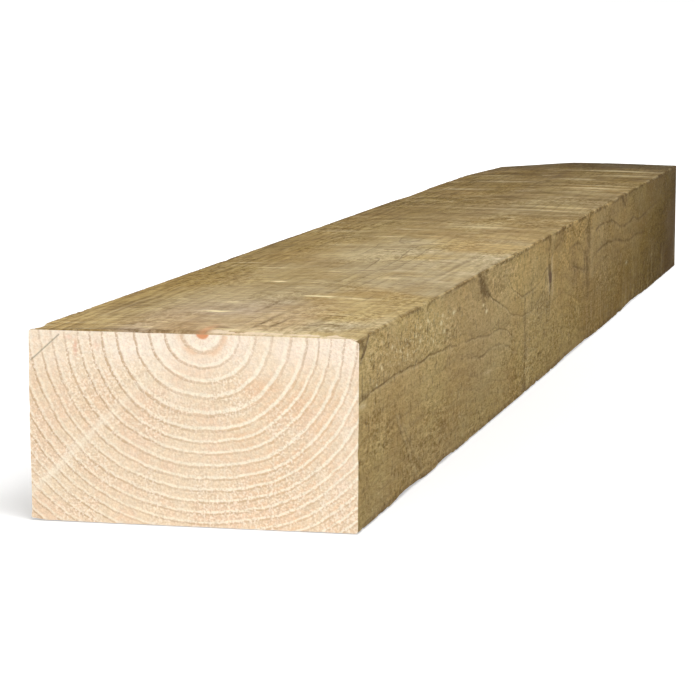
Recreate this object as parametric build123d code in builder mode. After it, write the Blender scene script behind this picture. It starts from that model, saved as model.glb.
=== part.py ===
from build123d import *
import os

# Rough-sawn softwood post, pressure treated, lying on its wide face.
# X runs across the width, Y along the length and Z up. The origin is the middle of the underside.
# The fresh crosscut end faces -Y and the old treated end faces +Y.

# Sawn section and length
post_length = 1500.0
post_width = 175.0
post_thickness = 100.0  # measured at the two sides

# Drying has cupped the heart face, so its middle stands proud of its two arrises.
heart_face_crown = 1.5

# The saw leaves a narrow break on each long arris, and handling a wider one on the old end.
arris_break = 0.8
old_end_break = 1.2

# The crosscut saw broke a thin corner sliver off the fresh end, at the top of the +X side.
sliver_length = 30.0
sliver_height = 2.2
sliver_depth = 4.5

# The top corner of the old end on the -X side is worn down in one broad slope.
worn_corner_length = 230.0
worn_corner_width = 75.0
worn_corner_depth = 4.5

# Torn stretches of arris: chord along the post, depth below the broken arris, and how far the
# middle of the stretch is from the end that is named with it.
lower_right_tears_from_fresh_end = [(92.0, 1.4, 137.0), (56.0, 1.0, 248.0)]
lower_right_tears_from_old_end = [(220.0, 1.1, 705.0), (170.0, 1.4, 344.0)]
lower_left_tears_from_fresh_end = [(130.0, 1.2, 310.0)]
lower_left_tears_from_old_end = [(160.0, 1.3, 420.0)]
upper_left_tears_from_fresh_end = [(26.0, 1.5, 15.0)]
upper_left_tears_from_old_end = [(150.0, 0.9, 470.0)]
upper_right_tears_from_fresh_end = [(74.0, 0.9, 96.0)]
upper_right_tears_from_old_end = [(110.0, 1.0, 520.0)]

half_width = post_width / 2
half_length = post_length / 2
RIGHT, LEFT, UPPER, LOWER = 1, -1, 1, -1


def tears_along(from_fresh_end, from_old_end):
    """Every torn stretch of one arris, with its middle given as a Y position."""
    fresh = [(chord, depth, -half_length + middle) for chord, depth, middle in from_fresh_end]
    old = [(chord, depth, half_length - middle) for chord, depth, middle in from_old_end]
    return fresh + old


def tear_plane(side, level, middle):
    """A plane on the broken arris: its x runs along the post and its y straight out of the corner."""
    corner_height = post_thickness if level == UPPER else 0.0
    inset = arris_break / 2
    origin = (side * (half_width - inset), middle, corner_height - level * inset)
    return Plane(origin=origin, x_dir=(0, 1, 0), z_dir=(level, 0, -side))


arris_tears = {
    (RIGHT, LOWER): tears_along(lower_right_tears_from_fresh_end, lower_right_tears_from_old_end),
    (LEFT, LOWER): tears_along(lower_left_tears_from_fresh_end, lower_left_tears_from_old_end),
    (LEFT, UPPER): tears_along(upper_left_tears_from_fresh_end, upper_left_tears_from_old_end),
    (RIGHT, UPPER): tears_along(upper_right_tears_from_fresh_end, upper_right_tears_from_old_end),
}

with BuildPart() as timber_post:
    # The section as sawn: three flat faces and the crowned heart face
    with BuildSketch(Plane.XZ.offset(half_length)) as sawn_section:
        with BuildLine() as section_outline:
            Polyline(
                (-half_width, post_thickness),
                (-half_width, 0),
                (half_width, 0),
                (half_width, post_thickness),
            )
            ThreePointArc(
                (half_width, post_thickness),
                (0, post_thickness + heart_face_crown),
                (-half_width, post_thickness),
            )
        make_face()
    extrude(amount=-post_length)

    # Broken arrises: the four long ones, then all round the old end
    chamfer(timber_post.edges().filter_by(Axis.Y), length=arris_break)
    chamfer(timber_post.faces().sort_by(Axis.Y)[-1].edges(), length=old_end_break)

    # Torn stretches: a shallow scoop out of the arris, wider than the scoop is deep
    for (side, level), tears in arris_tears.items():
        for chord, depth, middle in tears:
            with BuildSketch(tear_plane(side, level, middle)) as tear_profile:
                with BuildLine() as tear_outline:
                    ThreePointArc((-chord / 2, 0), (0, -depth), (chord / 2, 0))
                    Polyline(
                        (chord / 2, 0),
                        (chord / 2, arris_break),
                        (-chord / 2, arris_break),
                        (-chord / 2, 0),
                    )
                make_face()
            extrude(amount=arris_break + 2 * depth, both=True, mode=Mode.SUBTRACT)

    # The broken-off sliver: one flat facet across the top right corner of the fresh end
    facet_side_point = Vector(half_width, -half_length, post_thickness - sliver_height)
    facet_back_point = Vector(half_width, -half_length + sliver_length, post_thickness)
    facet_end_point = Vector(half_width - sliver_depth, -half_length, post_thickness)
    facet_normal = (facet_back_point - facet_side_point).cross(facet_end_point - facet_side_point)
    split(bisect_by=Plane(origin=facet_side_point, z_dir=facet_normal), keep=Keep.BOTTOM)

    # The worn corner: one broad facet off the top left corner of the old end
    worn_low_point = Vector(-half_width, half_length, post_thickness - worn_corner_depth)
    worn_front_point = Vector(-half_width, half_length - worn_corner_length, post_thickness)
    worn_inner_point = Vector(
        worn_corner_width - half_width, half_length, post_thickness + heart_face_crown
    )
    worn_normal = (worn_front_point - worn_low_point).cross(worn_inner_point - worn_low_point)
    split(bisect_by=Plane(origin=worn_low_point, z_dir=worn_normal), keep=Keep.BOTTOM)

timber_post.part.label = "timber_post"

os.makedirs("parts", exist_ok=True)
export_step(timber_post.part, "parts/timber_post.step")
print("timber_post volume in litres:", timber_post.part.volume / 1e6)
print("timber_post box:", timber_post.part.bounding_box())
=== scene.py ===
import math

import bmesh
import bpy
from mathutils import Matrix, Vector


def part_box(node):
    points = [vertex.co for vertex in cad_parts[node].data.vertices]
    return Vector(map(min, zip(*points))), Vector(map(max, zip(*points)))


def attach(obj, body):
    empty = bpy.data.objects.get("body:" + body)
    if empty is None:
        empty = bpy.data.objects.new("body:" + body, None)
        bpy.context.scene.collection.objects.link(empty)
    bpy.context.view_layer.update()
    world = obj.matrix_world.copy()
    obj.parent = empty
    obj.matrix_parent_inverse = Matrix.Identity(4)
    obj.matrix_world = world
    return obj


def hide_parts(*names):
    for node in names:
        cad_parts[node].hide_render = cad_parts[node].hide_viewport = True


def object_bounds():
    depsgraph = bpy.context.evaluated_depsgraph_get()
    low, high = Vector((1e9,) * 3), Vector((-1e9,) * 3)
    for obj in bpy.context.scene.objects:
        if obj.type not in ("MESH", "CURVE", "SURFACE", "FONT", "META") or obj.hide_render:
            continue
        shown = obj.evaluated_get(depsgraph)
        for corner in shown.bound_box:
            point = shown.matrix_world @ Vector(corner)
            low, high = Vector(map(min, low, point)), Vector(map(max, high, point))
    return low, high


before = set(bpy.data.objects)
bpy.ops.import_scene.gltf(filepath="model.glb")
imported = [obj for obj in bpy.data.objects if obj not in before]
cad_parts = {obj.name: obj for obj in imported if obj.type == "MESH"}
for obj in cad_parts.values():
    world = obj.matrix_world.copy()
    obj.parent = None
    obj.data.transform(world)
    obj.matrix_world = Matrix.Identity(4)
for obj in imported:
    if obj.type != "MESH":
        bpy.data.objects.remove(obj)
cad_low, cad_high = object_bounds()

# Camera
# It looks along the post from its fresh-cut end, standing a little to the right and above.
frame_side_px = 696
focal_length_px = 3000.0
camera_place = (0.40038, -2.21783, 0.27882)
camera_turn_left = math.radians(12.2541)
camera_tilt_down = math.radians(6.9686)
camera_roll = math.radians(0.2965)

bpy.ops.object.select_all(action="DESELECT")
bpy.ops.object.camera_add(location=camera_place)
camera = bpy.context.object
camera.name = "camera"
camera.rotation_euler = (math.pi / 2 - camera_tilt_down, 0, camera_turn_left)
camera.rotation_euler.rotate_axis("Z", camera_roll)
camera.data.sensor_width = 36.0
camera.data.lens = focal_length_px / frame_side_px * camera.data.sensor_width
camera.data.clip_end = 100.0
bpy.context.scene.camera = camera
bpy.context.scene.view_settings.view_transform = "Standard"

# Studio light
# A large soft box hangs high in front and to the right, so that it rakes the sawn faces, and a
# smaller one fills the fresh end. The room is pale grey, and plain white to the camera.
room_light = 0.30
key_box = ("key_box", (0.95, -1.85, 2.75), 1.4, 74.0)
end_box = ("end_box", (-0.10, -3.20, 0.75), 0.8, 18.0)
back_box = ("back_box", (-2.00, 2.60, 1.60), 1.2, 26.0)
lit_point = Vector((0, -0.40, 0.05))


def hang_soft_box(name, place, side, power):
    """Adds a square lamp that faces the post and that the camera doesn't see."""
    bpy.ops.object.light_add(type="AREA", location=place)
    lamp = bpy.context.object
    lamp.name = name
    lamp.data.shape = "SQUARE"
    lamp.data.size = side
    lamp.data.energy = power
    lamp.rotation_euler = (lit_point - Vector(place)).to_track_quat("-Z", "Y").to_euler()
    lamp.visible_camera = False


hang_soft_box(*key_box)
hang_soft_box(*end_box)
hang_soft_box(*back_box)


def put(tree, kind, *values, output=0, **settings):
    """Adds a node, fills its inputs in order with numbers or links, and returns one output."""
    node = tree.nodes.new(kind)
    for name, value in settings.items():
        setattr(node, name, value)
    sockets = [socket for socket in node.inputs if socket.enabled]
    for socket, value in zip(sockets, values):
        if isinstance(value, bpy.types.NodeSocket):
            tree.links.new(value, socket)
        elif value is not None:
            socket.default_value = value
    results = [socket for socket in node.outputs if socket.enabled]
    return results[output] if results else None


def maths(tree, operation, *values):
    """Adds a maths node and returns its result."""
    return put(tree, "ShaderNodeMath", *values, operation=operation)


def seen_by_eye(tree):
    """One for rays from the camera, and for what gloss and glass show, else nought."""
    path = tree.nodes.new("ShaderNodeLightPath")
    seen = maths(tree, "MAXIMUM", path.outputs["Is Camera Ray"], path.outputs["Is Glossy Ray"])
    return maths(tree, "MAXIMUM", seen, path.outputs["Is Transmission Ray"])


world = bpy.data.worlds.new("studio")
bpy.context.scene.world = world
world.use_nodes = True
tree = world.node_tree
tree.nodes.clear()
level = put(tree, "ShaderNodeMapRange", seen_by_eye(tree), 0.0, 1.0, room_light, 1.0)
put(tree, "ShaderNodeOutputWorld", put(tree, "ShaderNodeBackground", (1, 1, 1, 1), level))

# Floor
# A wide pale studio floor. To the eye it is lifted to plain white, and more so far away, where
# the soft boxes don't reach. It keeps the post's soft shadow.
floor_side = 80.0
floor_drop = 0.0002
floor_paint_colour = (0.62, 0.62, 0.62, 1)
floor_lift_near = 0.45
floor_lift_far = 1.0
floor_lit_place = (0.30, -1.00, 0)
floor_near_reach = 0.4
floor_far_reach = 2.6

bpy.ops.object.select_all(action="DESELECT")
bpy.ops.mesh.primitive_plane_add(size=floor_side, location=(0, 0, cad_low.z - floor_drop))
floor = bpy.context.object
floor.name = "floor"
bpy.ops.object.transform_apply(location=True, rotation=True, scale=True)
floor_paint = bpy.data.materials.new("white_floor")
floor_paint.use_nodes = True
tree = floor_paint.node_tree
tree.nodes.clear()
place = put(tree, "ShaderNodeTexCoord", output=3)
from_lit = put(tree, "ShaderNodeVectorMath", place, floor_lit_place, operation="SUBTRACT")
away = put(tree, "ShaderNodeVectorMath", from_lit, operation="LENGTH")
lift = put(
    tree, "ShaderNodeMapRange", away, floor_near_reach, floor_far_reach, floor_lift_near,
    floor_lift_far, interpolation_type="SMOOTHSTEP",
)
lift = maths(tree, "MULTIPLY", lift, seen_by_eye(tree))
glow = put(tree, "ShaderNodeEmission", (1, 1, 1, 1), lift)
matt = put(tree, "ShaderNodeBsdfDiffuse", floor_paint_colour)
put(tree, "ShaderNodeOutputMaterial", put(tree, "ShaderNodeAddShader", matt, glow))
floor.data.materials.append(floor_paint)

# Post, the sawn shape
# One length of softwood, sawn square from beside the heart of the log. The saw left its long
# faces rough and its arrises a little torn, and it was then crosscut to length.
_, post_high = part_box("timber_post")
half_width = post_high.x
half_length = post_high.y
heart_face_crown = 0.0015
side_height = post_high.z - heart_face_crown
arris_break = 0.0008
old_end_break = 0.0012
edge_strips = (0.0022, 0.0046)
fresh_end_zone = 0.030
near_zone = 0.520
top_cuts = 59
underside_cuts = 29
right_cuts = 33
left_cuts = 19
fresh_end_cuts = 24
length_cuts = (15, 16)
end_tolerance = 1e-6

bpy.ops.object.select_all(action="DESELECT")
bpy.ops.mesh.primitive_cube_add(
    size=1,
    location=(0, 0, side_height / 2),
    scale=(2 * half_width, 2 * half_length, side_height),
)
post = bpy.context.object
post.name = "sawn_timber_post"
bpy.ops.object.transform_apply(location=True, rotation=True, scale=True)


def pick(wanted, kind="edges"):
    """In edit mode, selects only the vertices, edges or faces that the test wants."""
    modes = {"verts": "VERT", "edges": "EDGE", "faces": "FACE"}
    bpy.ops.mesh.select_mode(type=modes[kind])
    bpy.ops.mesh.select_all(action="DESELECT")
    shape = bmesh.from_edit_mesh(bpy.context.object.data)
    for element in getattr(shape, kind):
        if wanted(element):
            element.select_set(True)
    shape.select_flush_mode()
    bmesh.update_edit_mesh(bpy.context.object.data)


def length_along(edge, axis):
    """How long an edge is, if it lies along that axis, else nought."""
    step = edge.verts[1].co - edge.verts[0].co
    return step.length if abs(step[axis]) > 0.999 * step.length else 0.0


def middle(element):
    """The middle of an edge or a face."""
    points = [vertex.co for vertex in element.verts]
    return sum(points, Vector()) / len(points)


def slice_at(place, normal):
    """Cuts every face along one plane."""
    bpy.ops.mesh.select_all(action="SELECT")
    bpy.ops.mesh.bisect(plane_co=place, plane_no=normal)


def divide(wanted, cuts):
    """Divides the edges that the test wants."""
    pick(wanted)
    bpy.ops.mesh.subdivide(number_cuts=cuts)


bpy.ops.object.mode_set(mode="EDIT")
pick(lambda edge: length_along(edge, 1) > 0)
bpy.ops.mesh.bevel(offset=arris_break, segments=2, affect="EDGES")
pick(lambda face: abs(face.normal.y) > 0.9, "faces")
bpy.ops.mesh.delete(type="FACE")
for strip in edge_strips:
    for side in (-1, 1):
        slice_at((side * (half_width - strip), 0, 0), (1, 0, 0))
    slice_at((0, 0, strip), (0, 0, 1))
    slice_at((0, 0, side_height - strip), (0, 0, 1))
half_height = side_height / 2
divide(lambda edge: length_along(edge, 0) > half_width and middle(edge).z > half_height, top_cuts)
divide(
    lambda edge: length_along(edge, 0) > half_width and middle(edge).z < half_height,
    underside_cuts,
)
divide(lambda edge: length_along(edge, 2) > half_height and middle(edge).x > 0, right_cuts)
divide(lambda edge: length_along(edge, 2) > half_height and middle(edge).x < 0, left_cuts)
slice_at((0, fresh_end_zone - half_length, 0), (0, 1, 0))
slice_at((0, near_zone - half_length, 0), (0, 1, 0))
slice_at((0, half_length - old_end_break, 0), (0, 1, 0))
divide(lambda edge: 0.001 < length_along(edge, 1) < 0.04, fresh_end_cuts)
divide(lambda edge: length_along(edge, 1) > 0.04, length_cuts[0])
divide(lambda edge: length_along(edge, 1) > 0.0303, length_cuts[1])
pick(lambda vertex: vertex.co.y > half_length - end_tolerance, "verts")
bpy.ops.transform.resize(
    value=(1 - old_end_break / half_width, 1, 1 - 2 * old_end_break / side_height),
    center_override=(0, half_length, side_height / 2),
)
bpy.ops.object.mode_set(mode="OBJECT")


def finish_with(piece, kind, name, **settings):
    """Adds a modifier to a piece and applies it."""
    modifier = piece.modifiers.new(name, kind)
    for setting, value in settings.items():
        setattr(modifier, setting, value)
    bpy.ops.object.select_all(action="DESELECT")
    piece.select_set(True)
    bpy.context.view_layer.objects.active = piece
    bpy.ops.object.modifier_apply(modifier=modifier.name)


finish_with(
    post, "SHRINKWRAP", "sawn_shape",
    target=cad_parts["timber_post"], wrap_method="NEAREST_SURFACEPOINT",
)

# Post, the relief that the saw left
# The wood is only ever sunk in from the sawn faces: slow waves, the ripple of the saw, grain
# torn out in patches, and chips out of the arrises. All of it runs on inside the sawn size.
relief_core = 0.008
wave_depth = 0.0004
ripple_depth = 0.00014
torn_depth = 0.0007
chip_depth = 0.0012
nick_depth = 0.0006
upper_chip_share = 0.35
left_lean = 0.0012
smooth_angle = math.radians(35)


def vectors(tree, operation, *values):
    """Adds a vector maths node and returns its vector or, for a length or a product, its number."""
    return put(tree, "ShaderNodeVectorMath", *values, operation=operation)


def times(tree, first, *others):
    """The product of some values."""
    for other in others:
        first = maths(tree, "MULTIPLY", first, other)
    return first


def noise(tree, place, scale, detail=2.0, roughness=0.5, distortion=0.0, output=0):
    """Noise with its own number of features for each metre along X, Y and Z."""
    stretched = vectors(tree, "MULTIPLY", place, scale)
    return put(
        tree, "ShaderNodeTexNoise", stretched, 1.0, detail, roughness, 2.0, distortion,
        output=output,
    )


def between(tree, value, low, high, start=0.0, end=1.0):
    """A smooth step from start to end as the value goes from low to high."""
    return put(
        tree, "ShaderNodeMapRange", value, low, high, start, end, interpolation_type="SMOOTHSTEP"
    )


def separate(tree, place):
    """The X, Y and Z of a place."""
    node = tree.nodes.new("ShaderNodeSeparateXYZ")
    tree.links.new(place, node.inputs[0])
    return node.outputs


relief = bpy.data.node_groups.new("sawn_relief", "GeometryNodeTree")
relief.interface.new_socket(name="Post", in_out="INPUT", socket_type="NodeSocketGeometry")
relief.interface.new_socket(name="Post", in_out="OUTPUT", socket_type="NodeSocketGeometry")
entry = relief.nodes.new("NodeGroupInput")
leave = relief.nodes.new("NodeGroupOutput")
place = put(relief, "GeometryNodeInputPosition")
core_x = half_width - relief_core
core_low = (-core_x, -10, relief_core)
core_high = (core_x, 10, side_height - relief_core)
core = vectors(relief, "MAXIMUM", vectors(relief, "MINIMUM", place, core_high), core_low)
from_core = vectors(relief, "SUBTRACT", place, core)
outward = vectors(relief, "NORMALIZE", from_core)
reach_x, _, reach_z = separate(relief, vectors(relief, "ABSOLUTE", from_core))
near_arris = between(relief, maths(relief, "MINIMUM", reach_x, reach_z), 0.0025, relief_core)
leaning = vectors(relief, "ADD", place, (0.31, 0.17, 0.53))
sunk = times(relief, noise(relief, leaning, (14, 5, 14)), wave_depth)
saw = noise(relief, vectors(relief, "ADD", place, (0.2, 0.7, 0.1)), (18, 95, 18), 2.0, 0.5, 0.6)
sunk = maths(relief, "MULTIPLY_ADD", saw, ripple_depth, sunk)
patch = between(relief, noise(relief, place, (26, 9, 26)), 0.48, 0.66)
torn = between(relief, noise(relief, leaning, (150, 26, 150), 3.0), 0.52, 0.72)
sunk = maths(relief, "MULTIPLY_ADD", times(relief, torn, patch), torn_depth, sunk)
chips = between(relief, noise(relief, place, (40, 42, 40), 3.0, 0.6), 0.54, 0.70)
chips = times(relief, chips, chip_depth)
nicks = between(relief, noise(relief, leaning, (90, 170, 90), 2.0), 0.50, 0.72)
chips = maths(relief, "MULTIPLY_ADD", nicks, nick_depth, chips)
at_x, at_y, at_z = separate(relief, place)
chips = times(relief, chips, between(relief, at_z, 0.05, 0.09, 1.0, upper_chip_share))
sunk = maths(relief, "MULTIPLY_ADD", chips, near_arris, sunk)
lean = times(relief, between(relief, at_z, 0.08, 0.0), left_lean)
lean = times(relief, lean, between(relief, at_x, -core_x, -half_width + 0.002))
lean = times(relief, lean, between(relief, at_y, -0.2, -0.7))
sunk = maths(relief, "ADD", sunk, lean)
inward = times(relief, sunk, -1.0)
offset = put(relief, "ShaderNodeVectorMath", outward, inward, operation="SCALE")
moved = put(relief, "GeometryNodeSetPosition", entry.outputs[0], None, None, offset)
relief.links.new(moved, leave.inputs[0])
finish_with(post, "NODES", "sawn_relief", node_group=relief)

bpy.ops.object.mode_set(mode="EDIT")
for end in (-half_length, half_length):
    pick(lambda edge: edge.is_boundary and abs(middle(edge).y - end) < 0.002)
    bpy.ops.transform.resize(value=(1, 0, 1), center_override=(0, end, 0))
    bpy.ops.mesh.edge_face_add()
bpy.ops.mesh.select_all(action="SELECT")
bpy.ops.mesh.normals_make_consistent(inside=False)
bpy.ops.object.mode_set(mode="OBJECT")
bpy.ops.object.shade_smooth_by_angle(angle=smooth_angle)

# Growth rings
# The heart of the log lies on the top face, a little right of its middle, so the rings are half
# circles on the fresh end and long bending lines on the sides. The radii are taken straight down.
mm = 0.001
pith_x = 0.0056
pith_z = 0.1012
log_radius = 0.135
ring_radii_mm = (
    11.3, 19.5, 27.4, 35.4, 44.6, 52.3, 58.3, 64.3, 71.2, 77.6,
    83.6, 89.6, 95.2, 100.5, 105.7, 110.8, 115.7, 120.6, 125.5, 130.3,
)
ring_stretch = ((0.0, 1.055), (0.17, 1.05), (0.33, 1.035), (0.42, 1.005), (0.52, 0.995),
                (0.62, 1.0), (0.72, 1.015), (0.82, 1.025), (1.0, 1.05))
heart_drop_mm = (
    (0, 0), (270, 0), (333, 5), (417, 10), (475, 15), (560, 9), (662, 3), (760, -3), (850, 5),
    (900, -1), (960, -4), (1010, -3), (1100, 5), (1190, 6), (1300, -2), (1400, 4), (1500, 8),
)
knots = (
    ((0.0875, -0.093, 0.069), (0.030, 0.022, 0.012), 0.005, 0.9),
    ((0.0875, 0.123, 0.077), (0.030, 0.036, 0.013), 0.006, 0.0),
    ((0.0875, -0.202, 0.028), (0.030, 0.024, 0.012), 0.004, 0.2),
    ((-0.02, 0.31, 0.101), (0.020, 0.055, 0.030), 0.008, 0.0),
    ((-0.0875, 0.02, 0.055), (0.030, 0.035, 0.016), 0.008, 0.9),
    ((-0.0875, 0.48, 0.035), (0.030, 0.035, 0.014), 0.007, 0.6),
    ((0.03, -0.25, 0.0), (0.022, 0.040, 0.030), 0.009, 0.9),
)


def new_group(name, inputs, outputs):
    """Starts a shader group with named sockets, each given as a name and a kind."""
    group = bpy.data.node_groups.new(name, "ShaderNodeTree")
    for direction, sockets in (("INPUT", inputs), ("OUTPUT", outputs)):
        for socket, kind in sockets:
            group.interface.new_socket(name=socket, in_out=direction, socket_type="NodeSocket" + kind)
    entry = group.nodes.new("NodeGroupInput")
    leave = group.nodes.new("NodeGroupOutput")
    return group, entry.outputs, leave.inputs


def drawn_curve(tree, value, points):
    """A curve through points, each a place from 0 to 1 and a height from 0 to 1."""
    node = tree.nodes.new("ShaderNodeFloatCurve")
    line = node.mapping.curves[0]
    line.points[0].location = points[0]
    line.points[1].location = points[-1]
    for point in points[1:-1]:
        line.points.new(*point)
    for point in line.points:
        point.handle_type = "AUTO"
    node.mapping.update()
    tree.links.new(value, node.inputs["Value"])
    return node.outputs[0]


def curve_along(tree, share, points, low, high):
    """A value that changes along the post, from points given as mm from the fresh end and a value."""
    span = high - low
    fitted = [(along * mm / (2 * half_length), (value - low) / span) for along, value in points]
    return maths(tree, "MULTIPLY_ADD", drawn_curve(tree, share, fitted), span, low)


def hump(tree, place, centre, reach):
    """One at a centre, falling away smoothly over the reach along each axis."""
    offset = vectors(tree, "SUBTRACT", place, centre)
    offset = vectors(tree, "DIVIDE", offset, reach)
    squared = vectors(tree, "DOT_PRODUCT", offset, offset)
    return maths(tree, "EXPONENT", times(tree, squared, -1.0))


rings, given, result = new_group(
    "growth_rings",
    [("Place", "Vector")],
    [("Part", "Float"), ("Radius", "Float"), ("Angle", "Float"), ("Knot", "Float")],
)
place = given["Place"]
at_x, at_y, at_z = separate(rings, place)
along = put(rings, "ShaderNodeMapRange", at_y, -half_length, half_length, 0.0, 1.0)
drop_mm = curve_along(rings, along, heart_drop_mm, -20.0, 20.0)
sway = put(rings, "ShaderNodeTexNoise", at_y, 3.0, 3.0, 0.5, 2.0, 0.0, noise_dimensions="1D")
sway = maths(rings, "MULTIPLY_ADD", sway, 0.030, -0.015)
sway = times(rings, sway, between(rings, along, 0.0, 0.3))
pith = put(
    rings, "ShaderNodeCombineXYZ", maths(rings, "ADD", sway, pith_x), 0.0,
    maths(rings, "MULTIPLY_ADD", drop_mm, -mm, pith_z),
)
from_pith = vectors(rings, "MULTIPLY", vectors(rings, "SUBTRACT", place, pith), (1, 0, 1))
off_x, _, off_z = separate(rings, from_pith)
turned = maths(rings, "ARCTAN2", maths(rings, "ABSOLUTE", off_z), off_x)
turned = maths(rings, "DIVIDE", turned, math.pi)
stretch = drawn_curve(rings, turned, [(at, (factor - 0.9) / 0.2) for at, factor in ring_stretch])
stretch = maths(rings, "MULTIPLY_ADD", stretch, 0.2, 0.9)
radius = maths(rings, "DIVIDE", vectors(rings, "LENGTH", from_pith), stretch)
swell = noise(rings, place, (30, 6, 30), 2.0)
radius = maths(rings, "ADD", radius, maths(rings, "MULTIPLY_ADD", swell, 0.0024, -0.0012))
wobble = noise(rings, place, (190, 22, 190), 2.0)
radius = maths(rings, "ADD", radius, maths(rings, "MULTIPLY_ADD", wobble, 0.0018, -0.0009))
knot_mask = None
for centre, reach, bulge, darkness in knots:
    swelling = hump(rings, place, centre, reach)
    radius = maths(rings, "MULTIPLY_ADD", swelling, bulge, radius)
    core = times(rings, between(rings, swelling, 0.80, 0.95), darkness)
    knot_mask = core if knot_mask is None else maths(rings, "MAXIMUM", knot_mask, core)
steps = [(0.0, 0.0)]
for number, radius_mm in enumerate(ring_radii_mm, 1):
    steps.append((radius_mm * mm / log_radius, number / (len(ring_radii_mm) + 1)))
steps.append((1.0, 1.0))
count = drawn_curve(rings, maths(rings, "DIVIDE", radius, log_radius), steps)
for point in rings.nodes[-1].mapping.curves[0].points:
    point.handle_type = "VECTOR"
rings.nodes[-1].mapping.update()
count = times(rings, count, float(len(ring_radii_mm) + 1))
rings.links.new(maths(rings, "FRACT", count), result["Part"])
rings.links.new(radius, result["Radius"])
rings.links.new(turned, result["Angle"])
rings.links.new(knot_mask, result["Knot"])


def use(tree, group, *values):
    """Places a group and returns its outputs."""
    node = tree.nodes.new("ShaderNodeGroup")
    node.node_tree = group
    for socket, value in zip(node.inputs, values):
        if isinstance(value, bpy.types.NodeSocket):
            tree.links.new(value, socket)
        else:
            socket.default_value = value
    return node.outputs


def start_finish(name, specular):
    """A new material with its Principled BSDF, and the place on the object."""
    finish = bpy.data.materials.new(name)
    finish.use_nodes = True
    tree = finish.node_tree
    tree.nodes.clear()
    shader = tree.nodes.new("ShaderNodeBsdfPrincipled")
    shader.inputs["Specular IOR Level"].default_value = specular
    put(tree, "ShaderNodeOutputMaterial", shader.outputs[0])
    return finish, tree, shader, put(tree, "ShaderNodeTexCoord", output=3)


def blend(tree, factor, first, second, kind="MIX"):
    """Lays the second colour over the first."""
    return put(tree, "ShaderNodeMix", factor, first, second, data_type="RGBA", blend_type=kind)


def tone(tree, colour, factor):
    """A colour made lighter or darker by a factor."""
    return put(tree, "ShaderNodeVectorMath", colour, factor, operation="SCALE")


def warm_tone(tree, colour, factor):
    """A colour scaled by a factor, so that its darks turn warmer and its lights paler."""
    red = maths(tree, "POWER", factor, 0.85)
    blue = maths(tree, "POWER", factor, 1.35)
    return vectors(tree, "MULTIPLY", colour, put(tree, "ShaderNodeCombineXYZ", red, factor, blue))


def roughen(tree, shader, height, distance):
    """Feeds a height to the shader through a Bump node."""
    bump = tree.nodes.new("ShaderNodeBump")
    bump.inputs["Strength"].default_value = 1.0
    bump.inputs["Distance"].default_value = distance
    tree.links.new(height, bump.inputs["Height"])
    tree.links.new(bump.outputs[0], shader.inputs["Normal"])


# Sawn grain
# The marks of a band saw on softwood: torn specks, short dashes across the grain and fine long
# fibres, rougher in some patches than in others. Every treated face has them.
grain, given, result = new_group(
    "sawn_grain",
    [("Place", "Vector"), ("Fibre", "Float"), ("Dash", "Float")],
    [("Shade", "Float"), ("Rough", "Float"), ("Height", "Float")],
)
place = given["Place"]
rough_patch = between(grain, noise(grain, place, (26, 10, 26), 3.0, 0.6), 0.44, 0.60)
speck = noise(grain, place, (420, 140, 520), 3.0, 0.7)
blotch = noise(grain, vectors(grain, "ADD", place, (0.4, 0.6, 0.9)), (70, 100, 340), 3.0, 0.70, 1.1)
dash = noise(grain, vectors(grain, "ADD", place, (0.7, 0.2, 0.4)), (55, 170, 230), 3.0, 0.70, 1.2)
fibre = noise(grain, place, (300, 15, 420), 3.0, 0.65)
shade = between(grain, speck, 0.36, 0.64, -0.22, 0.22)
shade = times(grain, shade, maths(grain, "MULTIPLY_ADD", rough_patch, 1.1, 0.25))
shade = maths(grain, "ADD", shade, between(grain, blotch, 0.36, 0.64, -0.13, 0.13))
shade = maths(grain, "MULTIPLY_ADD", between(grain, dash, 0.38, 0.62, -1.0, 1.0), given["Dash"], shade)
shade = maths(grain, "MULTIPLY_ADD", between(grain, fibre, 0.40, 0.60, -1.0, 1.0), given["Fibre"], shade)
shade = maths(grain, "ADD", shade, 1.0)
height = maths(grain, "MULTIPLY_ADD", speck, 0.5, times(grain, dash, 0.8))
height = maths(grain, "MULTIPLY_ADD", blotch, 0.9, height)
grain.links.new(shade, result["Shade"])
grain.links.new(rough_patch, result["Rough"])
grain.links.new(height, result["Height"])

# Treated faces
# Preservative has turned the rough faces olive brown, darker and browner towards the old end, a
# darkening that is partly painted falloff of light, and paler where the saw has lifted the fibres.
olive = (0.475, 0.345, 0.140, 1)
brown = (0.43, 0.292, 0.112, 1)
grey_green = (0.47, 0.375, 0.222, 1)
ring_brown = (0.14, 0.078, 0.025, 1)
straw = (0.82, 0.67, 0.38, 1)
# The colour of the painted highlights on fibres and marks
lit_fibre = (1.0, 0.88, 0.52, 1)
knot_brown = (0.17, 0.09, 0.06, 1)
pith_orange = (0.74, 0.33, 0.16, 1)
cream = (0.87, 0.70, 0.50, 1)
deep_stain_and_falloff = (0.92, 0.84, 0.60, 1)
# How light the stain is, with painted falloff of light towards the old end and painted light on the
# right of the crowned top mixed in, by mm from the fresh end: on the side, and at the left and right of
# the top
side_stain_and_light = ((0, 1.15), (100, 1.16), (200, 1.17), (350, 1.14), (450, 1.20), (600, 1.18),
              (850, 1.12), (950, 1.02), (1100, 0.90), (1300, 0.60), (1430, 0.43), (1500, 0.31))
left_stain_and_light = ((0, 0.98), (100, 0.90), (200, 0.82), (350, 0.72), (450, 0.66), (575, 0.70), (725, 0.70),
              (900, 0.60), (1100, 0.60), (1300, 0.58), (1400, 0.46), (1500, 0.32))
right_stain_and_light = ((0, 1.16), (60, 1.06), (150, 1.02), (250, 0.97), (350, 1.02), (450, 1.10),
               (575, 1.06), (725, 0.85), (900, 0.82), (1100, 0.78), (1300, 0.64), (1400, 0.42),
               (1500, 0.18))
far_tint_and_falloff = (0.93, 0.86, 0.60, 1)
near_tint = (1.0, 0.98, 1.20, 1)
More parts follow.
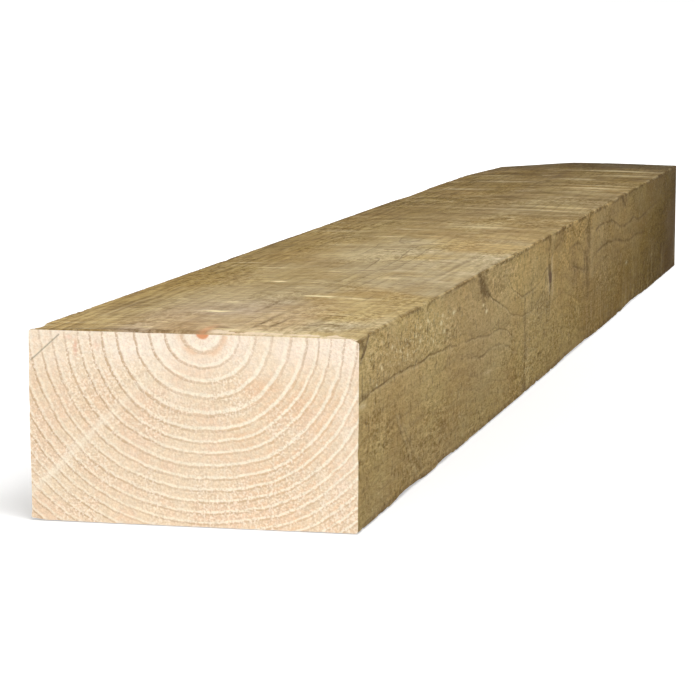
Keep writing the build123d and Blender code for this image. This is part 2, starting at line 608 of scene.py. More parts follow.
# Ring lines on the right side, each as its course in mm from the fresh end and mm below the top,
# and how dark it is along that
fine_line = 0.0006
ring_lines = (
    (
        ((0, 33), (50, 31), (100, 30.5), (160, 32), (210, 32), (255, 34), (333, 39), (404, 43),
         (435, 44), (484, 53), (510, 60), (640, 55), (757, 35), (783, 36), (820, 40), (845, 42),
         (900, 36), (941, 33), (981, 33), (1038, 36), (1108, 42), (1153, 42), (1218, 44), (1500, 50)),
        ((0, 0.8), (200, 1), (255, 0.8), (285, 0.2), (330, 0.7), (440, 0.6), (505, 0.4), (530, 0),
         (745, 0), (775, 0.4), (850, 0.5), (880, 0.1), (910, 0.8), (1218, 0.7), (1260, 0.1), (1500, 0)),
    ),
    (
        ((0, 12), (353, 4), (395, 18), (450, 30), (509, 43), (560, 46), (584, 45), (612, 41),
         (640, 30), (664, 17), (676, 13), (707, 9), (735, 2), (753, 19), (787, 18), (815, 22),
         (837, 29), (860, 30), (901, 17), (931, 15), (987, 16), (1028, 20), (1071, 27), (1115, 27),
         (1150, 25), (1180, 29), (1260, 27), (1333, 25), (1500, 28)),
        ((0, 0), (380, 0), (396, 1), (505, 0.6), (535, 0.5), (612, 0.6), (650, 0.1), (668, 0.8),
         (730, 0.6), (742, 0), (760, 0.7), (850, 0.7), (868, 0), (905, 0.7), (1150, 0.8),
         (1333, 0.4), (1400, 0.1), (1500, 0)),
    ),
    (
        ((0, 11), (14, 8), (27, 0), (60, -5), (465, 14), (482, 21), (508, 28), (538, 32),
         (569, 32), (606, 30), (643, 24), (1000, 48), (1067, 52), (1500, 60)),
        ((0, 1), (24, 1), (31, 0), (460, 0), (475, 0.7), (640, 0.7), (655, 0), (990, 0),
         (1010, 0.5), (1060, 0.5), (1080, 0), (1500, 0)),
    ),
    (
        ((0, 56), (157, 62), (225, 67), (290, 68), (331, 50), (367, 53), (405, 52), (452, 56),
         (511, 67), (640, 80), (1500, 75)),
        ((0, 0), (140, 0), (170, 0.4), (285, 0.4), (305, 0), (325, 0), (345, 0.6), (500, 0.5),
         (520, 0), (1500, 0)),
    ),
)
# Steps where the saw stopped and started, with painted shade on their dark side and painted highlight on
# their pale side: mm from the fresh end, mm below the top, half width, and how dark or, below nought,
# how pale
shaded_saw_steps = (
    (652, (-3, 60), 3.5, 0.75), (668, (-3, 50), 6.0, -0.3), (640, (20, 46), 4.0, -0.25),
    (541, (31, 112), 5.0, 0.55), (556, (36, 112), 6.0, -0.2), (856, (3, 70), 7.0, 0.6),
    (880, (4, 56), 8.0, -0.3), (835, (26, 60), 4.0, 0.4), (717, (56, 92), 3.0, 0.35),
    (760, (60, 98), 3.0, 0.35), (810, (66, 98), 3.0, 0.35), (868, (70, 100), 3.0, 0.35),
)
# Slanting cuts and torn fibres on the right side: from and to, in mm along and below the top,
# half width and strength. Lengths along the post count for a third, as the eye sees them.
# A strength below nought is pale here and in the lists that follow.
slanting_marks = (
    ((2, 1), (26, -2), 1.0, 0.9), ((27, -1), (3, 12), 1.0, 1.0), ((8, 2), (12, 8), 0.8, 0.6),
    ((92, 49), (118, 70), 0.7, 0.35), ((118, 70), (153, 98), 0.7, 0.4),
    ((98, 52), (160, 97), 0.8, -0.25), ((108, 55), (170, 97), 0.7, 0.30),
    ((116, 60), (178, 96), 0.7, -0.2), ((63, 58), (84, 53), 0.6, 0.5), ((60, 63), (90, 56), 0.6, 0.5),
    ((57, 68), (84, 62), 0.6, 0.4), ((656, 22), (657, 38), 1.4, 1.0), ((645, 24), (650, 42), 1.2, -0.7),
    ((664, 18), (668, 44), 1.0, -0.5), ((768, 34), (817, 40), 0.7, 0.6),
    ((1064, -1), (1088, 11), 1.6, 0.9), ((1092, 9), (1098, 1), 1.2, 0.6),
    ((357, -1), (366, 12), 1.2, 0.8), ((366, 12), (395, 18), 1.2, 0.8),
)
# Marks on the right side: centre and reach in mm along and below the top, and strength
side_marks = (
    ((372, 8), (15, 9), 0.55), ((390, 16), (9, 5), 0.5), ((573, 40), (14, 6), 0.35),
    ((630, 44), (20, 5), 0.35), ((657, 31), (5, 7), 1.1), ((783, 40), (20, 13), 0.35),
    ((847, 38), (12, 7), 0.4), ((612, 50), (24, 10), 0.35), ((866, 23), (6, 7), 0.6),
    ((1078, 5), (5, 5), 0.4), ((287, 15), (4, 3), 0.5), ((238, 78), (8, 4), 0.35),
    ((537, 95), (12, 6), 0.35), ((1383, 71), (12, 6), 0.4), ((700, 6), (40, 5), 0.35),
    ((9, 3), (9, 4), 0.6), ((1500, 50), (16, 70), 0.6), ((384, 27), (3, 2), -0.7),
    ((10, 35.5), (9, 1.3), -1.2), ((392, 65.5), (15, 1.2), -0.6), ((14, 31), (10, 1.5), 0.7),
    ((640, 52), (6, 6), 0.5), ((1500, 75), (70, 35), 0.75), ((372, 14), (7, 7), 0.6),
)
# Painted highlights on lifted fibres on the right side: mm along and below the top, and reach
highlit_fibres = (
    ((229, 17), (3.5, 1.6)), ((238, 22), (3, 1.2)), ((232, 13), (2.5, 1.0)), ((271, 15), (3.5, 1.2)),
    ((167, 20), (2.6, 1.2)), ((153, 17), (2.2, 1.0)), ((83, 14), (2, 1.0)), ((128, 24), (2, 1.1)),
    ((186, 12), (2.2, 1.0)), ((60, 22), (1.8, 1.1)), ((1108, 61), (6, 1.6)), ((384, 27), (3.5, 1.2)),
    ((371, 22), (3, 1.0)), ((107, 19), (1.8, 1.0)), ((202, 24), (2.4, 1.1)), ((45, 30), (1.8, 1.0)),
)
# Torn zones on the right side: centre and reach in mm along and below the top, and strength
torn_zones = (((160, 19), (120, 12), 1.0), ((560, 85), (30, 35), 0.5), ((625, 52), (55, 20), 0.5))
# Marks on the top: centre and reach in mm across from the left arris and along, and strength
top_marks = (
    ((76, 96), (9, 3.6), -1.6), ((112, 187), (15, 3.6), -1.35), ((135, 181), (10, 3.0), -1.0),
    ((73, 144), (7, 3.2), -1.1), ((71, 263), (6, 4), -1.3), ((76, 441), (26, 24), -0.3),
    ((28, 635), (16, 4), -0.9), ((70, 590), (10, 4), -0.9), ((70, 657), (10, 4), -0.9),
    ((60, 520), (14, 4), -0.7), ((112, 545), (12, 4), -0.6), ((48, 348), (10, 3), -0.7),
    ((95, 330), (12, 3), -0.6), ((128, 300), (10, 3), -0.7), ((120, 690), (24, 5), -1.0),
    ((133, 868), (42, 7), -0.8), ((150, 905), (26, 5), -0.7), ((113, 1245), (14, 7), -0.9),
    ((145, 1135), (26, 7), -1.1), ((140, 1170), (30, 8), -0.6), ((60, 1195), (26, 9), -0.6),
    ((137, 1375), (40, 9), -1.1), ((150, 1310), (24, 10), -0.7), ((35, 1090), (22, 8), -0.6),
    ((80, 980), (5, 5), -0.5), ((30, 1280), (18, 14), -0.3), ((104, 13), (9, 4), -0.9),
    ((122, 8), (12, 4), -0.9), ((150, 3), (22, 3), -0.8), ((40, 3), (46, 4), 1.0),
    ((22, 155), (2.4, 120), 0.6), ((16, 145), (1.6, 75), 0.5), ((19.5, 115), (1.0, 50), -0.4),
    ((97, 136), (1.2, 30), 0.8), ((113, 45), (1.2, 28), 0.8), ((122, 45), (1.2, 26), 0.7),
    ((154, 390), (2.2, 90), 0.5), ((157, 390), (1.4, 90), -0.4), ((88, 1290), (2.6, 120), 0.55),
    ((124, 1098), (5, 12), 0.5), ((88, 1075), (6, 17), 0.5), ((92, 985), (14, 26), 0.35),
    ((64, 890), (2, 70), 0.5), ((40, 775), (3, 40), 0.4), ((85, 1494), (100, 10), 0.5),
    ((10, 1400), (10, 120), 0.3), ((163, 400), (3, 70), -0.35), ((150, 425), (2.2, 60), -0.3),
    ((168, 330), (3, 40), -0.4), ((122, 25), (18, 16), -0.3), ((85, 450), (30, 45), -0.15),
    ((85, 1130), (28, 260), 0.30), ((52, 230), (16, 170), -0.20), ((140, 60), (2, 30), 0.4),
)

wood_gloss = 0.1
stain_and_light_limit = 1.5
# How far below each drawn ring line its painted lip highlight lies
lip_highlight_gap = 2.2
# How pale a top mark must be before it gets a painted highlight
highlight_from = 0.75
grain_depth = 0.0022
eye_shortening = 3


def clamped(tree, value):
    """A value held between nought and one."""
    return put(tree, "ShaderNodeMath", value, 0.0, operation="ADD", use_clamp=True)


def either(tree, share, first, second):
    """The first value where the share is nought, the second where it is one."""
    return put(tree, "ShaderNodeMapRange", share, 0.0, 1.0, first, second)


def shaken(tree, place, scale, reach):
    """A smooth shift of up to half the reach either way along each axis."""
    shift = noise(tree, place, (scale, scale, scale), 2.0, output=1)
    return vectors(tree, "MULTIPLY", vectors(tree, "SUBTRACT", shift, (0.5, 0.5, 0.5)), reach)


def bell(tree, off, sharpness=1.0):
    """One where the value is nought, falling away smoothly on both sides."""
    return maths(tree, "EXPONENT", times(tree, off, off, -sharpness))


def spot_at(tree, flat, centre_mm, reach_mm):
    """A soft spot on a face that is laid out flat."""
    centre = (centre_mm[0] * mm, centre_mm[1] * mm, 0)
    return hump(tree, flat, centre, (reach_mm[0] * mm, reach_mm[1] * mm, 1))


def from_line(tree, place, start, end):
    """How far a place lies from the straight line between two points."""
    course = end - start
    reached = vectors(tree, "SUBTRACT", place, tuple(start))
    part = vectors(tree, "DOT_PRODUCT", reached, tuple(course / course.length_squared))
    foot = put(tree, "ShaderNodeVectorMath", tuple(course), clamped(tree, part), operation="SCALE")
    return vectors(tree, "LENGTH", vectors(tree, "SUBTRACT", reached, foot))


def add_mark(tree, mask, strength, dark, pale):
    """Adds a mark to the dark ones or, where its strength is below nought, to the pale ones."""
    if strength > 0:
        return maths(tree, "MULTIPLY_ADD", mask, strength, dark), pale
    return dark, maths(tree, "MULTIPLY_ADD", mask, -strength, pale)


treated, tree, shader, place = start_finish("treated_sawn_face", wood_gloss)
at_x, at_y, at_z = separate(tree, place)
along = maths(tree, "ADD", at_y, half_length)
share = maths(tree, "DIVIDE", along, 2 * half_length)
down = maths(tree, "SUBTRACT", side_height, at_z)
to_side = maths(tree, "SUBTRACT", half_width, maths(tree, "ABSOLUTE", at_x))
on_top = between(tree, maths(tree, "SUBTRACT", to_side, down), 0.0, 0.0010)
on_right = times(tree, between(tree, at_x, 0.084, 0.0855), maths(tree, "SUBTRACT", 1.0, on_top))
ring = use(tree, rings, place)
streaky = between(tree, at_x, -0.030, -0.065, 0.03, 0.18)
cross_marks = between(tree, share, 0.35, 0.65, 0.09, 0.17)
mark = use(
    tree, grain, place, maths(tree, "MULTIPLY_ADD", on_top, streaky, 0.04),
    maths(tree, "MULTIPLY_ADD", on_top, cross_marks, 0.03),
)

# The stain: two browns in patches, greyer on the top, darker towards the old end partly by painted
# falloff of light, and yellower low on the side and on the left and middle of the top
patches = noise(tree, place, (17, 7, 17), 3.0, 0.6)
colour = blend(tree, between(tree, patches, 0.38, 0.62), brown, olive)
rightward = put(tree, "ShaderNodeMapRange", at_x, -0.075, 0.04, 0.0, 1.0)
tint = noise(tree, vectors(tree, "ADD", place, (0.3, 0.3, 0.3)), (14, 9, 14), 3.0)
tint = between(tree, tint, 0.40, 0.64, 0.1, 1.0)
greyish = times(tree, rightward, between(tree, share, 0.55, 0.25, 0.4, 1.0))
greyish = maths(tree, "MAXIMUM", greyish, between(tree, share, 0.07, 0.02, 0.0, 0.7))
greyish = maths(tree, "MULTIPLY_ADD", times(tree, on_top, greyish), 0.75, 0.2)
colour = blend(tree, times(tree, tint, greyish), colour, grey_green)
side_level = curve_along(tree, share, side_stain_and_light, 0.0, stain_and_light_limit)
side_level = times(tree, side_level, between(tree, down, 0.0, 0.1, 1.17, 0.88))
left_level = curve_along(tree, share, left_stain_and_light, 0.0, stain_and_light_limit)
right_level = curve_along(tree, share, right_stain_and_light, 0.0, stain_and_light_limit)
level = either(tree, on_top, side_level, either(tree, rightward, left_level, right_level))
colour = tone(tree, colour, level)
side_yellow = between(tree, share, 0.25, 0.50, 0.0, 0.38)
side_yellow = maths(tree, "ADD", side_yellow, between(tree, down, 0.040, 0.085, 0.0, 0.30))
left_yellow = between(tree, share, 0.45, 0.30, 0.0, 0.50)
left_yellow = times(tree, left_yellow, between(tree, at_x, -0.040, -0.075))
middle_yellow = between(tree, share, 0.34, 0.24, 0.0, 0.25)
middle_yellow = times(tree, middle_yellow, between(tree, share, 0.08, 0.16))
top_yellow = maths(tree, "ADD", left_yellow, middle_yellow)
yellow = either(tree, on_top, side_yellow, top_yellow)
deep = clamped(tree, maths(tree, "ADD", between(tree, level, 1.0, 0.6), yellow))
colour = blend(tree, deep, colour, deep_stain_and_falloff, "MULTIPLY")
# Darker and browner low on the far part, partly a painted falloff of light
far_low = times(tree, between(tree, share, 0.60, 0.97), between(tree, down, 0.0, 0.06, 0.3, 1.0))
colour = blend(tree, far_low, colour, far_tint_and_falloff, "MULTIPLY")
near_top = times(
    tree, on_top, between(tree, share, 0.13, 0.05), between(tree, at_x, -0.055, -0.035),
    between(tree, at_x, 0.060, 0.030),
)
colour = blend(tree, near_top, colour, near_tint, "MULTIPLY")
broad = noise(tree, vectors(tree, "ADD", place, (0.8, 0.3, 0.1)), (20, 26, 45), 3.0, 0.65, 0.5)
broad = put(tree, "ShaderNodeMapRange", broad, 0.36, 0.64, -1.0, 1.0)
bands = noise(tree, vectors(tree, "ADD", place, (0.1, 0.2, 0.6)), (8, 48, 8), 3.0, 0.7, 0.3)
bands = put(tree, "ShaderNodeMapRange", bands, 0.38, 0.62, -1.0, 1.0)
broad = maths(tree, "MULTIPLY_ADD", times(tree, bands, on_top), 0.8, broad)
broad_share = between(tree, share, 0.20, 0.60, 0.05, 0.22)
broad_share = times(tree, broad_share, maths(tree, "MULTIPLY_ADD", on_top, 0.5, 0.5))
colour = warm_tone(tree, colour, maths(tree, "MULTIPLY_ADD", broad, broad_share, 1.0))
colour = tone(tree, colour, between(tree, ring["Part"], 0.45, 0.97, 1.03, 0.93))
colour = warm_tone(tree, colour, mark["Shade"])

# Ring lines: faint ones from the solid rings, and the courses that are drawn on the right side, each
# with a painted highlight on the lip just below it
fade = noise(tree, place, (14, 7, 14), 2.0)
line = times(
    tree, between(tree, ring["Part"], 0.90, 0.965), between(tree, ring["Part"], 1.0, 0.98),
    between(tree, fade, 0.46, 0.64, 0.0, 0.45), maths(tree, "SUBTRACT", 1.0, on_right),
)
drift = shaken(tree, place, 45, (0.012, 0.03, 0.012))
ragged = shaken(tree, place, 260, (0.0015, 0.012, 0.0012))
drift_x, drift_y, drift_z = separate(tree, drift)
_, ragged_y, _ = separate(tree, vectors(tree, "ADD", drift, ragged))
traced, lip_highlights = 0.0, 0.0
thin = between(tree, share, 0.32, 0.55, 1 / fine_line, 0.5 / fine_line)
for course, strengths in ring_lines:
    below_top_mm = curve_along(tree, share, course, 0.0, 100.0)
    weight = curve_along(tree, share, strengths, 0.0, 1.0)
    off = maths(tree, "MULTIPLY_ADD", below_top_mm, -mm, down)
    off = times(tree, maths(tree, "MULTIPLY_ADD", drift_z, 0.35, off), thin)
    traced = maths(tree, "MULTIPLY_ADD", bell(tree, off), weight, traced)
    lip_highlight = bell(tree, maths(tree, "SUBTRACT", off, lip_highlight_gap), 0.8)
    lip_highlights = maths(tree, "MULTIPLY_ADD", lip_highlight, weight, lip_highlights)
broken = between(tree, noise(tree, place, (60, 60, 60), 2.0), 0.40, 0.56, 0.45, 1.0)
traced = times(tree, traced, on_right, broken, between(tree, share, 0.32, 0.50, 0.62, 0.80))
line = maths(tree, "MAXIMUM", line, traced)

# Marks on the right side, laid out flat, then marks on the top
dark = 0.0
# The painted lip highlights start the pale marks
pale = times(tree, lip_highlights, between(tree, share, 0.35, 0.45, 0.35, 0.08))
# Painted shade and painted highlight of the saw steps
for from_end, (top_end, low_end), half, strength in shaded_saw_steps:
    off = maths(tree, "ADD", maths(tree, "SUBTRACT", along, from_end * mm), ragged_y)
    step = times(
        tree, bell(tree, maths(tree, "DIVIDE", off, half * mm)),
        between(tree, down, top_end * mm, (top_end + 3) * mm),
        between(tree, down, low_end * mm, (low_end - 6) * mm),
    )
    dark, pale = add_mark(tree, step, strength, dark, pale)
unrolled = put(
    tree, "ShaderNodeCombineXYZ", maths(tree, "MULTIPLY_ADD", drift_y, 0.5, along),
    maths(tree, "MULTIPLY_ADD", drift_z, 0.4, down), 0.0,
)
for centre, reach, strength in side_marks:
    dark, pale = add_mark(tree, spot_at(tree, unrolled, centre, reach), strength, dark, pale)
seen = vectors(tree, "MULTIPLY", unrolled, (1 / eye_shortening, 1, 1))
for start, end, half, strength in slanting_marks:
    start = Vector((start[0] / eye_shortening, start[1], 0)) * mm
    end = Vector((end[0] / eye_shortening, end[1], 0)) * mm
    drawn = bell(tree, from_line(tree, seen, start, end), 1 / (half * mm) ** 2)
    dark, pale = add_mark(tree, drawn, strength, dark, pale)
side_dark = times(tree, dark, on_right)
side_pale = times(tree, pale, on_right)
dark, pale = 0.0, 0.0
across = maths(tree, "MULTIPLY_ADD", drift_x, 0.4, maths(tree, "ADD", at_x, half_width))
drifted_along = maths(tree, "MULTIPLY_ADD", drift_y, 0.3, along)
spread = put(tree, "ShaderNodeCombineXYZ", across, drifted_along, 0.0)
for centre, reach, strength in top_marks:
    dark, pale = add_mark(tree, spot_at(tree, spread, centre, reach), strength, dark, pale)
dark = maths(tree, "MULTIPLY_ADD", dark, on_top, side_dark)
# The palest top marks also get a painted highlight
struck_highlight = times(tree, maths(tree, "SUBTRACT", pale, highlight_from), on_top)
struck_highlight = clamped(tree, times(tree, struck_highlight, 1.6))
pale = maths(tree, "MULTIPLY_ADD", pale, on_top, side_pale)

# Rough wood: torn zones with painted glints and painted shade in their pits, a brushed band low on the
# far side, lifted dashes, and sunk dashes with painted shade in them
sparkle = noise(tree, vectors(tree, "ADD", place, (0.1, 0.5, 0.8)), (460, 330, 520), 1.0)
sparkle = between(tree, sparkle, 0.58, 0.63)
torn = 0.0
for centre, reach, strength in torn_zones:
    torn = maths(tree, "MULTIPLY_ADD", spot_at(tree, unrolled, centre, reach), strength, torn)
brushed = times(tree, between(tree, down, 0.058, 0.072), between(tree, share, 0.52, 0.62), on_right)
brush = noise(tree, place, (6, 130, 16), 3.0, 0.65)
dark = maths(tree, "MULTIPLY_ADD", between(tree, brush, 0.50, 0.38, 0.0, 0.55), brushed, dark)
pale = maths(tree, "MULTIPLY_ADD", between(tree, brush, 0.54, 0.66, 0.0, 0.35), brushed, pale)
torn = times(tree, torn, on_right)
torn = maths(tree, "MULTIPLY_ADD", torn, 1.2, times(tree, mark["Rough"], 0.2))
sparkle = clamped(tree, times(tree, sparkle, torn))
# Painted shade in the pits of the torn zones
pit_shade = noise(tree, vectors(tree, "ADD", place, (0.6, 0.1, 0.2)), (330, 220, 330), 1.0)
pit_shade = between(tree, pit_shade, 0.42, 0.36)
dark = maths(tree, "MULTIPLY_ADD", pit_shade, times(tree, torn, 0.35), dark)
lifted = between(tree, noise(tree, place, (38, 190, 170), 3.0, 0.65, 1.0), 0.585, 0.635)
lifted = times(tree, lifted, between(tree, noise(tree, place, (24, 12, 24), 2.0), 0.44, 0.60))
pale = maths(tree, "MULTIPLY_ADD", lifted, maths(tree, "MULTIPLY_ADD", on_top, 0.35, 0.40), pale)
# Painted shade in the sunk dashes
shaded_sunk_dash = noise(tree, vectors(tree, "ADD", place, (0.9, 0.1, 0.6)), (60, 180, 140), 2.0, 0.6)
dark = maths(tree, "MULTIPLY_ADD", between(tree, shaded_sunk_dash, 0.42, 0.32), 0.6, dark)

# Arrises: darker patches and a painted highlight along them, a painted shade line under the top one and
# along the top left one, and painted shade just above the floor
low_gap = maths(tree, "MINIMUM", maths(tree, "ABSOLUTE", down), at_z)
arris = between(tree, maths(tree, "ADD", to_side, low_gap), 0.0030, 0.0010)
arris_patchiness = noise(tree, place, (60, 34, 60), 3.0, 0.6)
dark = maths(tree, "MULTIPLY_ADD", times(tree, arris, between(tree, arris_patchiness, 0.54, 0.42)), 0.7, dark)
edge_gaps = noise(tree, place, (22, 22, 22), 3.0, 0.6)
# Painted shade under the lip of the top right arris
lip_shade_line = times(
    tree, between(tree, down, 0.0040, 0.0022), between(tree, down, 0.0004, 0.0012), on_right,
    between(tree, edge_gaps, 0.56, 0.48), between(tree, share, 0.10, 0.30, 0.3, 0.6),
)
dark = maths(tree, "ADD", lip_shade_line, dark)
# Painted shade line along the top left arris
left_shade_line = between(tree, at_x, -0.0835, -0.0850)
left_shade_line = times(tree, left_shade_line, between(tree, share, 0.05, 0.2), on_top)
dark = maths(tree, "MULTIPLY_ADD", left_shade_line, 0.5, dark)
# Painted shade just above the floor
shade_above_floor = times(tree, between(tree, at_z, 0.0060, 0.0015), between(tree, arris_patchiness, 0.62, 0.50, 0.3, 1.0))
dark = maths(tree, "MULTIPLY_ADD", shade_above_floor, 0.55, dark)
# Painted highlight along the arrises
pale = maths(tree, "MULTIPLY_ADD", times(tree, arris, between(tree, arris_patchiness, 0.52, 0.62)), 0.5, pale)

# All of it laid over the stain, with painted highlights on the fibres and the palest marks, then the
# pale fringe and the pith at the fresh end, and the knots
dark = clamped(tree, times(tree, dark, between(tree, mark["Shade"], 0.80, 1.20, 1.25, 0.75)))
pale = clamped(tree, times(tree, pale, between(tree, mark["Shade"], 0.80, 1.20, 0.7, 1.2)))
colour = blend(tree, times(tree, dark, 0.75), colour, ring_brown)
colour = blend(tree, times(tree, pale, 0.7), colour, straw)
# Painted highlights: on the palest top marks, in the torn zones and on the lifted fibres
glints = maths(tree, "MAXIMUM", struck_highlight, times(tree, sparkle, 0.55))
for centre, reach in highlit_fibres:
    spot = times(tree, spot_at(tree, unrolled, centre, reach), on_right)
    glints = maths(tree, "MAXIMUM", glints, spot)
glints = times(tree, glints, between(tree, share, 0.80, 0.60, 0.35, 0.9))
colour = blend(tree, glints, colour, lit_fibre)
colour = blend(tree, line, colour, ring_brown)
fringe = maths(tree, "MULTIPLY_ADD", noise(tree, place, (130, 40, 130), 2.0, 0.7), 0.034, -0.011)
fringe = between(tree, maths(tree, "SUBTRACT", fringe, along), 0.0, 0.0012)
fringe = times(
    tree, fringe, between(tree, across, 0.092, 0.100),
    between(tree, along, 0.0006, 0.0018, 0.25, 1.0), on_top, 0.85,
)
colour = blend(tree, fringe, colour, cream)
streak = times(tree, spot_at(tree, spread, (92.5, 8), (2.6, 20)), on_top, 0.5)
colour = blend(tree, streak, colour, pith_orange)
colour = blend(tree, times(tree, ring["Knot"], 0.7), colour, knot_brown)
tree.links.new(colour, shader.inputs["Base Color"])
rough = maths(tree, "MULTIPLY_ADD", mark["Rough"], 0.15, 0.78)
tree.links.new(rough, shader.inputs["Roughness"])
roughen(tree, shader, maths(tree, "MULTIPLY_ADD", line, -0.45, mark["Height"]), grain_depth)

# Fresh end
# The crosscut shows pale untreated wood. Late wood is a thin tan line on the left and at the top,
# and a whiter one at the lower right, where the wood between the rings is peach.
peach = (0.86, 0.60, 0.37, 1)
pink = (0.87, 0.645, 0.455, 1)
white_wood = (1.0, 0.86, 0.71, 1)
tan_wood = (0.70, 0.50, 0.32, 1)
ring_tan = (0.56, 0.365, 0.20, 1)
ring_white = (1.0, 0.91, 0.74, 1)

# Marks on the fresh end: centre in mm from the middle and above the floor, reach, and strength
end_marks = (
    ((-66, 97), (1.6, 1.6), "red", 0.8), ((-62, 91), (1.2, 4), "red", 0.6),
    ((-52, 92), (3, 3), "red", 0.35), ((-24, 79), (1.2, 1.0), "dark", 0.8),
    ((-35, 92), (12, 6), "white", 0.6), ((-15, 90), (8, 8), "white", 0.7),
    ((-50, 65), (12, 9), "peach", 0.45), ((-60, 52), (9, 8), "peach", 0.35),
    ((-36, 62), (8, 6), "peach", 0.3), ((30, 40), (14, 8), "peach", 0.3),
    ((55, 62), (12, 9), "peach", 0.25), ((80, 50), (6, 50), "white", 0.3),
    ((-84, 50), (2.0, 60), "peach", 0.35), ((-8, 70), (14, 6), "white", 0.3),
    ((36, 72), (11, 4), "peach", 0.45), ((55, 65), (7, 7), "peach", 0.4),
    ((56, 41), (9, 7), "peach", 0.35),
)

mark_colours = {
    "red": (0.80, 0.42, 0.27, 1),
    "dark": (0.42, 0.30, 0.18, 1),
    "white": (1.0, 0.89, 0.75, 1),
    "peach": (0.84, 0.565, 0.36, 1),
}
scratch_brown = (0.36, 0.29, 0.19, 1)
first_ring_tan = (0.86, 0.58, 0.36, 1)
# How strong the white and the tan part of a ring are, from the right of the pith (0), round
# below it, to the left (1)
white_round = ((0, 0.35), (0.08, 0.5), (0.15, 0.8), (0.35, 0.8), (0.6, 0.6), (0.8, 0.5), (1, 0.35))
tan_round = ((0, 0.58), (0.06, 0.52), (0.12, 0.44), (0.3, 0.38), (0.42, 0.5), (0.6, 0.62),
             (0.8, 0.8), (0.9, 0.78), (1, 0.62))
scratch_start = Vector((-0.086, -half_length, 0.084))
scratch_end = Vector((-0.071, -half_length, 0.0975))
scratch_sharpness = 6e6
pore_depth = 0.0003

fresh, tree, shader, place = start_finish("fresh_crosscut", wood_gloss)
ring = use(tree, rings, place)
at_x, _, at_z = separate(tree, place)
angle = ring["Angle"]
patches = noise(tree, place, (60, 1, 60), 3.0, 0.6)
colour = blend(tree, between(tree, patches, 0.44, 0.64, 0.0, 0.8), cream, pink)
peachy = noise(tree, vectors(tree, "ADD", place, (0.2, 0, 0.2)), (90, 1, 90), 3.0, 0.6)
peachy = times(
    tree, between(tree, peachy, 0.34, 0.60), between(tree, angle, 0.04, 0.14),
    between(tree, angle, 0.50, 0.36), between(tree, ring["Radius"], 0.030, 0.055),
    between(tree, ring["Part"], 0.05, 0.5),
)
spot = hump(tree, place, (0.035, -half_length, 0.074), (0.012, 1, 0.005))
peachy = maths(tree, "MULTIPLY_ADD", spot, 0.7, peachy)
colour = blend(tree, times(tree, peachy, 0.8), colour, peach)
upper = times(
    tree, between(tree, at_z, 0.072, 0.096, 0.0, 0.75), between(tree, patches, 0.35, 0.55, 0.4, 1.0)
)
colour = blend(tree, upper, colour, white_wood)
uneven = between(tree, noise(tree, place, (120, 1, 120), 3.0, 0.6), 0.38, 0.62, 0.3, 1.3)
for (right_mm, up_mm), (reach_x, reach_z), name, strength in end_marks:
    centre = (right_mm * mm, -half_length, up_mm * mm)
    spot = hump(tree, place, centre, (reach_x * mm, 1, reach_z * mm))
    colour = blend(tree, times(tree, spot, uneven, strength), colour, mark_colours[name])

# The rings: first the white part of each, then its tan late wood
white = times(
    tree, between(tree, ring["Part"], 0.52, 0.66), between(tree, ring["Part"], 0.84, 0.76),
    drawn_curve(tree, angle, white_round),
)
colour = blend(tree, white, colour, ring_white)
strength = noise(tree, place, (40, 1, 40), 2.0)
dark = times(
    tree, between(tree, ring["Part"], 0.77, 0.89), between(tree, ring["Part"], 1.0, 0.975),
    drawn_curve(tree, angle, tan_round), between(tree, strength, 0.36, 0.60, 0.55, 1.0),
)
colour = blend(tree, dark, colour, ring_tan)

# Pores and dots of the cut fibres
dots = noise(tree, place, (850, 1, 850), 2.0, 0.7)
pores = noise(tree, place, (430, 1, 430), 2.0, 0.7)
smooth = between(tree, noise(tree, place, (35, 1, 35), 2.0), 0.40, 0.60, 0.45, 1.0)
pale_dots = times(tree, between(tree, dots, 0.53, 0.61), smooth, 0.8)
tan_dots = times(tree, between(tree, dots, 0.47, 0.39), smooth, 0.65)
tan_dots = times(tree, tan_dots, between(tree, at_z, 0.068, 0.086, 1.0, 0.4))
colour = blend(tree, pale_dots, colour, white_wood)
colour = blend(tree, tan_dots, colour, tan_wood)
colour = tone(tree, colour, between(tree, pores, 0.34, 0.66, 0.95, 1.05))

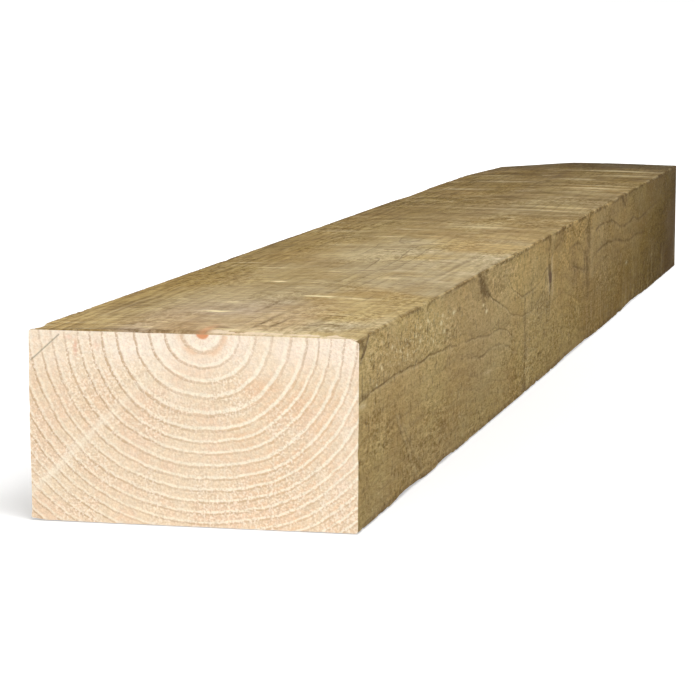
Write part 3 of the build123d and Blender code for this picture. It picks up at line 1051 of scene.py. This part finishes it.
# A pale ray and a streak inside it, down to the left of the pith, and a scratch at the top left
ray = hump(tree, angle, (0.765, 0, 0), (0.016, 1, 1))
ray = times(tree, ray, between(tree, ring["Radius"], 0.030, 0.045), 0.35)
colour = blend(tree, ray, colour, ring_white)
drag = hump(tree, maths(tree, "SUBTRACT", at_x, at_z), (-0.1005, 0, 0), (0.0024, 1, 1))
drag = times(tree, drag, between(tree, at_x, -0.004, -0.018), uneven, 0.33)
colour = blend(tree, drag, colour, ring_white)
scratch = bell(tree, from_line(tree, place, scratch_start, scratch_end), scratch_sharpness)
colour = blend(tree, times(tree, scratch, 0.8), colour, scratch_brown)

# The first ring and the pith
first_ring = hump(tree, ring["Radius"], (0.0115, 0, 0), (0.0016, 1, 1))
first_ring = times(tree, first_ring, between(tree, uneven, 0.4, 1.2, 0.2, 0.7))
colour = blend(tree, first_ring, colour, first_ring_tan)
pith = hump(tree, place, (pith_x, -half_length, pith_z), (0.0040, 1, 0.0042))
colour = blend(tree, between(tree, pith, 0.3, 0.55), colour, pith_orange)
tree.links.new(colour, shader.inputs["Base Color"])
tree.links.new(maths(tree, "MULTIPLY_ADD", dots, 0.3, 0.65), shader.inputs["Roughness"])
roughen(tree, shader, dots, pore_depth)

# Old end
# This end was cut before the treatment, so the preservative has soaked into it and darkened it.
# Its rings still show as darker lines.
old_end_tone = 0.75
old_pore_depth = 0.0005

old, tree, shader, place = start_finish("old_treated_end", wood_gloss)
ring = use(tree, rings, place)
patches = noise(tree, place, (30, 1, 30), 3.0)
colour = blend(tree, between(tree, patches, 0.35, 0.65), brown, olive)
colour = tone(tree, colour, old_end_tone)
line = between(tree, ring["Part"], 0.80, 0.97)
colour = blend(tree, times(tree, line, 0.6), colour, ring_brown)
dots = noise(tree, place, (700, 1, 700), 2.0, 0.7)
colour = tone(tree, colour, maths(tree, "MULTIPLY_ADD", dots, 0.8, 0.6))
tree.links.new(colour, shader.inputs["Base Color"])
tree.links.new(maths(tree, "MULTIPLY_ADD", dots, 0.3, 0.7), shader.inputs["Roughness"])
roughen(tree, shader, dots, old_pore_depth)

for material in (treated, fresh, old):
    post.data.materials.append(material)
for face in post.data.polygons:
    if len(face.vertices) > 4:
        face.material_index = 1 if face.center.y < 0 else 2
        face.use_smooth = False

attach(post, "root")
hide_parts("timber_post")

print("triangles", sum(len(face.vertices) - 2 for face in post.data.polygons))
